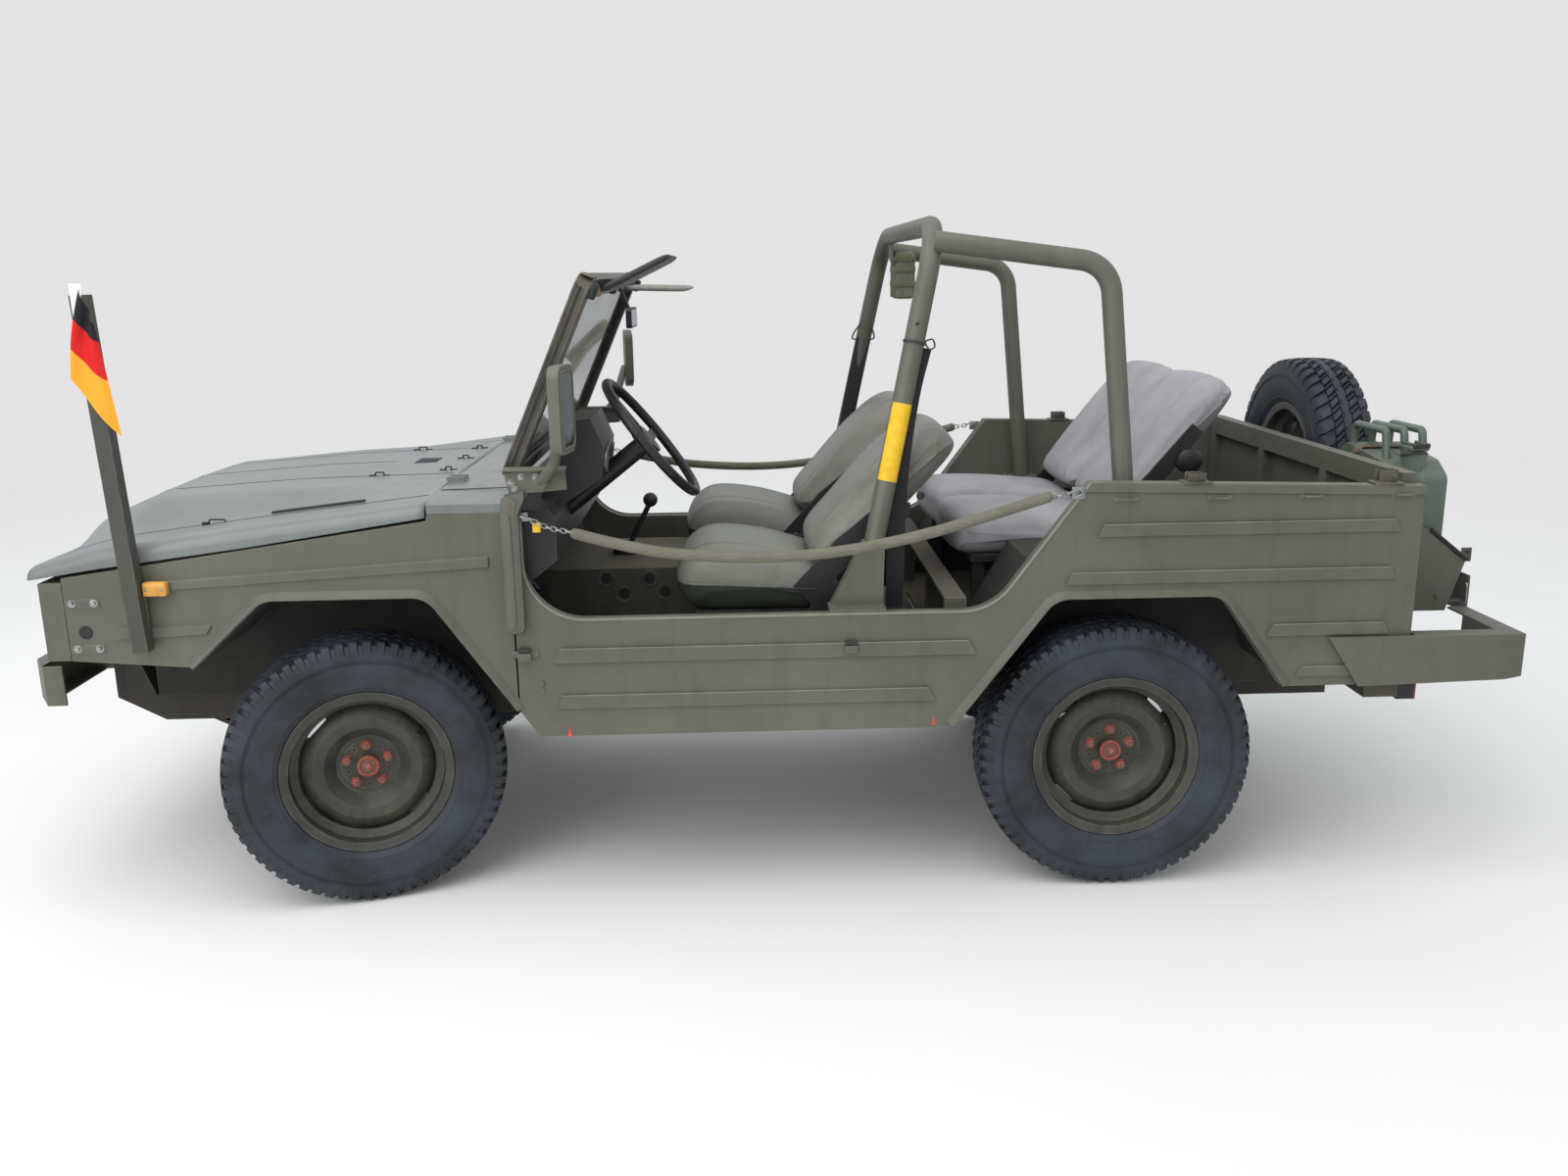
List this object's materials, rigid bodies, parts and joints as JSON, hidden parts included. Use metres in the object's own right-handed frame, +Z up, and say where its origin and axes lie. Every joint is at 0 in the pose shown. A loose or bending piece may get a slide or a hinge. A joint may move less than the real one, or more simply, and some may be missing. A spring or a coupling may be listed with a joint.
{
  "type": "army 4x4 car",
  "caption": "Open army 4x4 car with steering wheels that roll and steer, folding windscreen, bonnet and tailgate that open, roll bar, seats, door straps, spare wheel and can.",
  "frame": {"origin": "on the ground, in the middle of the car's box", "axes": "+X forward, +Y to the car's left, +Z up"},
  "size_m": [3.9055, 1.9924, 1.766],
  "materials": {
    "body_paint": "matt, faded",
    "bonnet_paint": "satin, faded",
    "chassis_paint": "matt",
    "wheel_paint": "matt",
    "can_paint": "satin",
    "iron": "rough",
    "steel": "worn",
    "tyre_rubber": "worn, dusty",
    "screen_glass": "clear",
    "lamp_plastic": "gloss",
    "black_plastic": "matt",
    "seat_vinyl": "creased vinyl",
    "canvas": "woven",
    "webbing": "woven",
    "flag_cloth": "woven"
  },
  "bodies": {
    "body": {"side_panels": "body_paint", "front_fenders": "body_paint", "wheel_boxes": "body_paint", "floor_pan": "body_paint", "front_panel": "body_paint", "lamps": "lamp_plastic", "cowl": "body_paint", "front_bumper": "body_paint", "chassis_frame": "chassis_paint", "rear_bumpers": "body_paint", "engine_block": "iron", "front_suspension": "chassis_paint", "rear_suspension": "chassis_paint", "fuel_tank": "chassis_paint", "roll_bar": "body_paint", "door_mirrors": "black_plastic", "dashboard": "body_paint", "steering_column": "black_plastic", "levers_and_pedals": "black_plastic", "seat_frames": "chassis_paint", "seat_cushions": "seat_vinyl", "seat_backs": "seat_vinyl", "flag_pole": "steel", "flag": "flag_cloth", "strap_left": "canvas", "strap_right": "canvas", "strap_hardware": "steel", "seat_belts": "webbing", "pouch": "canvas"},
    "left_knuckle": {"knuckle_left": "iron"},
    "right_knuckle": {"knuckle_right": "iron"},
    "front_left_wheel": {"tyre_front_left": "tyre_rubber", "rim_front_left": "wheel_paint"},
    "front_right_wheel": {"tyre_front_right": "tyre_rubber", "rim_front_right": "wheel_paint"},
    "rear_left_wheel": {"tyre_rear_left": "tyre_rubber", "rim_rear_left": "wheel_paint"},
    "rear_right_wheel": {"tyre_rear_right": "tyre_rubber", "rim_rear_right": "wheel_paint"},
    "wheel_of_the_driver": {"steering_wheel": "black_plastic"},
    "hood": {"bonnet": "bonnet_paint"},
    "windscreen": {"windscreen_frame": "body_paint", "windscreen_glass": "screen_glass", "sun_visors": "black_plastic", "inner_mirror": "black_plastic"},
    "gate": {"tailgate": "body_paint", "can_tub": "body_paint", "jerrycan": "can_paint", "spare_tyre": "tyre_rubber", "spare_rim": "wheel_paint"}
  },
  "joints": [
    {"name": "left_steering", "type": "hinge", "parent": "body", "child": "left_knuckle", "pos_m": [1.1085, 0.53, 0.364], "axis": [0, 0, 1], "range_deg": [-45, 15]},
    {"name": "right_steering", "type": "hinge", "parent": "body", "child": "right_knuckle", "pos_m": [1.1085, -0.53, 0.364], "axis": [0, 0, 1], "range_deg": [-45, 15]},
    {"name": "steering_wheel_turn", "type": "hinge", "parent": "body", "child": "wheel_of_the_driver", "pos_m": [0.313, 0.38, 1.198], "axis": [-0.788, 0, 0.6157], "range_deg": [-630, 210]},
    {"name": "front_left_roll", "type": "hinge", "parent": "left_knuckle", "child": "front_left_wheel", "pos_m": [1.1085, 0.53, 0.364], "axis": [-0.2588, 0.9659, 0], "continuous": true},
    {"name": "front_right_roll", "type": "hinge", "parent": "right_knuckle", "child": "front_right_wheel", "pos_m": [1.1085, -0.53, 0.364], "axis": [-0.2588, 0.9659, 0], "continuous": true},
    {"name": "rear_left_roll", "type": "hinge", "parent": "body", "child": "rear_left_wheel", "pos_m": [-0.9085, 0.63, 0.364], "axis": [0, 1, 0], "continuous": true},
    {"name": "rear_right_roll", "type": "hinge", "parent": "body", "child": "rear_right_wheel", "pos_m": [-0.9085, -0.63, 0.364], "axis": [0, 1, 0], "continuous": true},
    {"name": "bonnet_hinge", "type": "hinge", "parent": "body", "child": "hood", "pos_m": [0.852, 0, 1.106], "axis": [0, -1, 0], "range_deg": [0, 60]},
    {"name": "windscreen_hinge", "type": "hinge", "parent": "body", "child": "windscreen", "pos_m": [0.655, 0, 1.127], "axis": [0, -1, 0], "range_deg": [-114, 0]},
    {"name": "tailgate_hinge", "type": "hinge", "parent": "body", "child": "gate", "pos_m": [-1.652, 0, 0.598], "axis": [0, -1, 0], "range_deg": [0, 65]}
  ],
  "couplings": [
    {"joint": "right_steering", "follows": "left_steering", "ratio": 1},
    {"joint": "steering_wheel_turn", "follows": "left_steering", "ratio": 14}
  ]
}
